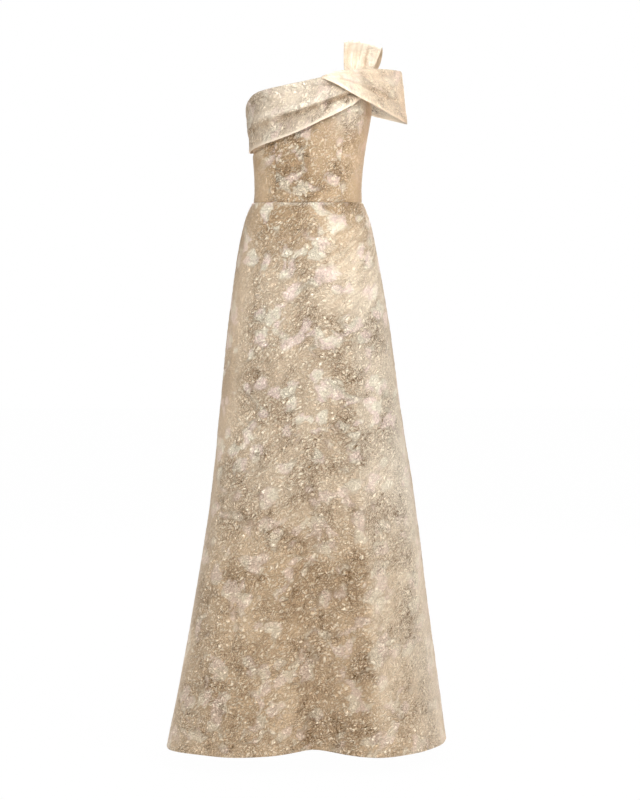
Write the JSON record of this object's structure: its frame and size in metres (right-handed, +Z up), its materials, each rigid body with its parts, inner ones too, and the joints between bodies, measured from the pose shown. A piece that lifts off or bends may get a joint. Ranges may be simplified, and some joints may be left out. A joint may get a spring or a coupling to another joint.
{
  "type": "one-shoulder dress",
  "caption": "Full-length one-shoulder evening dress in its worn, hollow form, with fold-over collar, gathered shoulder strap, arm drape, princess bodice and A-line skirt.",
  "frame": {"origin": "underside of the shoulder strap at the top of the wearer's shoulder, where the wearer holds the dress up", "axes": "+Z up, -Y out of the dress's front, +X to the right of someone who looks at the front, which is the wearer's left"},
  "size_m": [0.602, 0.4839, 1.5053],
  "materials": {
    "brocade": "crinkled metallic gold jacquard with pale silvery-pink patches",
    "zip_tape": "plain woven tape",
    "zip_metal": "polished"
  },
  "bodies": {
    "dress": {"bodice_centre_front": "brocade", "bodice_side_front_left": "brocade", "bodice_side_front_right": "brocade", "bodice_side_back_left": "brocade", "bodice_side_back_right": "brocade", "bodice_back_left": "brocade", "bodice_back_right": "brocade", "collar_front": "brocade", "collar_back_left": "brocade", "collar_back_right": "brocade", "arm_drape": "brocade", "shoulder_strap": "brocade", "skirt_front": "brocade", "skirt_back_left": "brocade", "skirt_back_right": "brocade", "zip_tape": "zip_tape", "zip_slider": "zip_metal"},
    "zip_tab": {"zip_tab": "zip_metal"}
  },
  "joints": [
    {"name": "zip_tab_swing", "type": "hinge", "parent": "dress", "child": "zip_tab", "pos_m": [-0.11743, 0.11393, -0.14911], "axis": [1, 0, 0], "range_deg": [0, 150]}
  ]
}
